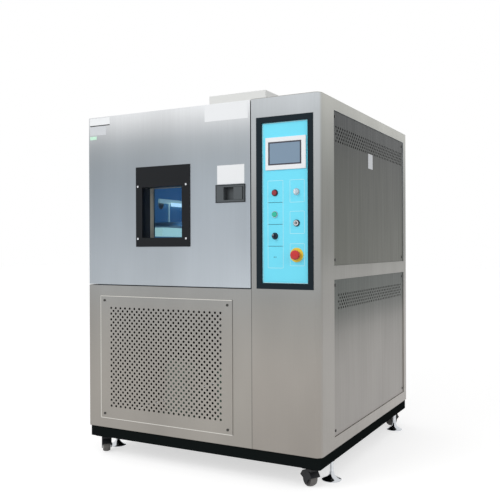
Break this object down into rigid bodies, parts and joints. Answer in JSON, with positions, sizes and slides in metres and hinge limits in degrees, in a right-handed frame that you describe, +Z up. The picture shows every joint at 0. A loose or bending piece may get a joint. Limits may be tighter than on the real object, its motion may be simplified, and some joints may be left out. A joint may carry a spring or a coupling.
{
  "type": "environmental test chamber",
  "caption": "Floor-standing stainless climate test chamber with a windowed door, a control column, a perforated machine bay, casters and levelling feet.",
  "frame": {"origin": "on the floor, under the middle of the whole object's bounding box", "axes": "+Z up, +X to the right seen from the front, front towards -Y"},
  "size_m": [1.251, 1.294, 1.85],
  "materials": {
    "stainless": "brushed",
    "liner_steel": "satin",
    "frame_steel": "satin",
    "plinth_paint": "satin",
    "cover_paint": "satin",
    "black_paint": "satin",
    "compressor_paint": "satin",
    "motor_paint": "satin",
    "foam": "matte",
    "fin_aluminium": "satin",
    "heater_steel": "satin",
    "fan_plastic": "matte",
    "device_plastic": "matte",
    "seal_rubber": "matte",
    "window_glass": "clear",
    "latch_paint": "satin",
    "panel_black": "satin",
    "panel_cyan": "satin",
    "screen_white": "gloss",
    "screen_dark": "gloss",
    "chrome_trim": "polished",
    "red_plastic": "gloss",
    "green_plastic": "gloss",
    "black_plastic": "satin",
    "silver_plastic": "satin",
    "yellow_plastic": "satin",
    "wheel_rubber": "matte"
  },
  "bodies": {
    "cabinet": {"base_frame": "plinth_paint", "fasteners": "frame_steel", "chassis": "frame_steel", "cabinet_shell": "stainless", "control_column": "stainless", "front_frame": "stainless", "grille_panel": "stainless", "side_covers": "stainless", "back_panel": "stainless", "motor_cover": "cover_paint", "inner_liner": "liner_steel", "insulation": "foam", "cable_port": "liner_steel", "air_baffle": "liner_steel", "shelf_rails": "liner_steel", "fan_motor": "motor_paint", "evaporator": "fin_aluminium", "heater": "heater_steel", "compressors": "compressor_paint", "condenser": "fin_aluminium", "electrical_gear": "device_plastic", "latch_striker": "frame_steel", "hinge_cabinet_leaves": "frame_steel", "panel_surround": "panel_black", "control_panel": "panel_cyan", "screen_bezel": "screen_white", "touch_screen": "screen_dark", "operator_collars": "chrome_trim", "estop_disc": "yellow_plastic"},
    "door": {"door_skin": "stainless", "door_liner": "liner_steel", "door_insulation": "foam", "door_gasket": "seal_rubber", "window_frame": "black_paint", "window_glass": "window_glass", "window_screws": "frame_steel", "latch_housing": "latch_paint", "hinge_door_leaves": "frame_steel"},
    "latch_paddle": {"latch_paddle": "latch_paint"},
    "circulation_fan": {"circulation_fan": "fin_aluminium"},
    "condenser_fan": {"condenser_fan": "fan_plastic"},
    "shelf": {"shelf": "liner_steel"},
    "red_button": {"red_button": "red_plastic"},
    "green_button": {"green_button": "green_plastic"},
    "black_selector": {"black_selector": "black_plastic"},
    "silver_selector": {"silver_selector": "silver_plastic"},
    "key_switch": {"key_switch": "chrome_trim"},
    "estop_button": {"estop_button": "red_plastic"},
    "caster_fork_front_left": {"caster_fork_front_left": "black_paint"},
    "caster_wheel_front_left": {"caster_wheel_front_left": "wheel_rubber"},
    "levelling_foot_front_left": {"levelling_foot_front_left": "chrome_trim"},
    "caster_fork_front_right": {"caster_fork_front_right": "black_paint"},
    "caster_wheel_front_right": {"caster_wheel_front_right": "wheel_rubber"},
    "levelling_foot_front_right": {"levelling_foot_front_right": "chrome_trim"},
    "caster_fork_rear_left": {"caster_fork_rear_left": "black_paint"},
    "caster_wheel_rear_left": {"caster_wheel_rear_left": "wheel_rubber"},
    "levelling_foot_rear_left": {"levelling_foot_rear_left": "chrome_trim"},
    "caster_fork_rear_right": {"caster_fork_rear_right": "black_paint"},
    "caster_wheel_rear_right": {"caster_wheel_rear_right": "wheel_rubber"},
    "levelling_foot_rear_right": {"levelling_foot_rear_right": "chrome_trim"}
  },
  "joints": [
    {"name": "door_hinge", "type": "hinge", "parent": "cabinet", "child": "door", "pos_m": [-0.6155, -0.563, 0.8295], "axis": [0, 0, -1], "range_deg": [0, 115]},
    {"name": "latch_pull", "type": "hinge", "parent": "door", "child": "latch_paddle", "pos_m": [0.2465, -0.616, 1.2], "axis": [0, 0, 1], "range_deg": [0, 30], "stiffness_Nm_per_rad": 0.4, "springref_deg": -11.46},
    {"name": "circulation_fan_spin", "type": "hinge", "parent": "cabinet", "child": "circulation_fan", "pos_m": [-0.1695, 0.252, 1.516], "axis": [0, 0, 1], "continuous": true},
    {"name": "condenser_fan_spin", "type": "hinge", "parent": "cabinet", "child": "condenser_fan", "pos_m": [-0.2635, 0.475, 0.34], "axis": [0, 1, 0], "continuous": true},
    {"name": "shelf_slide", "type": "slide", "parent": "cabinet", "child": "shelf", "axis": [0, -1, 0], "range_m": [0, 0.035]},
    {"name": "red_button_press", "type": "slide", "parent": "cabinet", "child": "red_button", "axis": [0, 1, 0], "range_m": [0, 0.003], "stiffness_N_per_m": 300},
    {"name": "green_button_press", "type": "slide", "parent": "cabinet", "child": "green_button", "axis": [0, 1, 0], "range_m": [0, 0.003], "stiffness_N_per_m": 300},
    {"name": "estop_press", "type": "slide", "parent": "cabinet", "child": "estop_button", "axis": [0, 1, 0], "range_m": [0, 0.004], "stiffness_N_per_m": 800},
    {"name": "black_selector_turn", "type": "hinge", "parent": "cabinet", "child": "black_selector", "pos_m": [0.3995, -0.621, 1.05191], "axis": [0, 1, 0], "range_deg": [-45, 45]},
    {"name": "silver_selector_turn", "type": "hinge", "parent": "cabinet", "child": "silver_selector", "pos_m": [0.4995, -0.621, 1.23508], "axis": [0, 1, 0], "range_deg": [-45, 45]},
    {"name": "key_switch_turn", "type": "hinge", "parent": "cabinet", "child": "key_switch", "pos_m": [0.4995, -0.621, 1.10486], "axis": [0, 1, 0], "range_deg": [0, 90]},
    {"name": "swivel_front_left", "type": "hinge", "parent": "cabinet", "child": "caster_fork_front_left", "pos_m": [-0.5495, -0.569, 0.09], "axis": [0, 0, 1], "continuous": true},
    {"name": "roll_front_left", "type": "hinge", "parent": "caster_fork_front_left", "child": "caster_wheel_front_left", "pos_m": [-0.56236, -0.55368, 0.0325], "axis": [0.766, 0.6428, 0], "continuous": true},
    {"name": "swivel_front_right", "type": "hinge", "parent": "cabinet", "child": "caster_fork_front_right", "pos_m": [0.5495, -0.569, 0.09], "axis": [0, 0, 1], "continuous": true},
    {"name": "roll_front_right", "type": "hinge", "parent": "caster_fork_front_right", "child": "caster_wheel_front_right", "pos_m": [0.53201, -0.5593, 0.0325], "axis": [0.4848, 0.8746, 0], "continuous": true},
    {"name": "swivel_rear_left", "type": "hinge", "parent": "cabinet", "child": "caster_fork_rear_left", "pos_m": [-0.5495, 0.593, 0.09], "axis": [0, 0, 1], "continuous": true},
    {"name": "roll_rear_left", "type": "hinge", "parent": "caster_fork_rear_left", "child": "caster_wheel_rear_left", "pos_m": [-0.54432, 0.57368, 0.0325], "axis": [-0.9659, -0.2588, 0], "continuous": true},
    {"name": "swivel_rear_right", "type": "hinge", "parent": "cabinet", "child": "caster_fork_rear_right", "pos_m": [0.5495, 0.593, 0.09], "axis": [0, 0, 1], "continuous": true},
    {"name": "roll_rear_right", "type": "hinge", "parent": "caster_fork_rear_right", "child": "caster_wheel_rear_right", "pos_m": [0.54266, 0.57421, 0.0325], "axis": [-0.9397, 0.342, 0], "continuous": true},
    {"name": "level_front_left", "type": "slide", "parent": "cabinet", "child": "levelling_foot_front_left", "axis": [0, 0, -1], "range_m": [0, 0.03]},
    {"name": "level_front_right", "type": "slide", "parent": "cabinet", "child": "levelling_foot_front_right", "axis": [0, 0, -1], "range_m": [0, 0.03]},
    {"name": "level_rear_left", "type": "slide", "parent": "cabinet", "child": "levelling_foot_rear_left", "axis": [0, 0, -1], "range_m": [0, 0.03]},
    {"name": "level_rear_right", "type": "slide", "parent": "cabinet", "child": "levelling_foot_rear_right", "axis": [0, 0, -1], "range_m": [0, 0.03]}
  ]
}
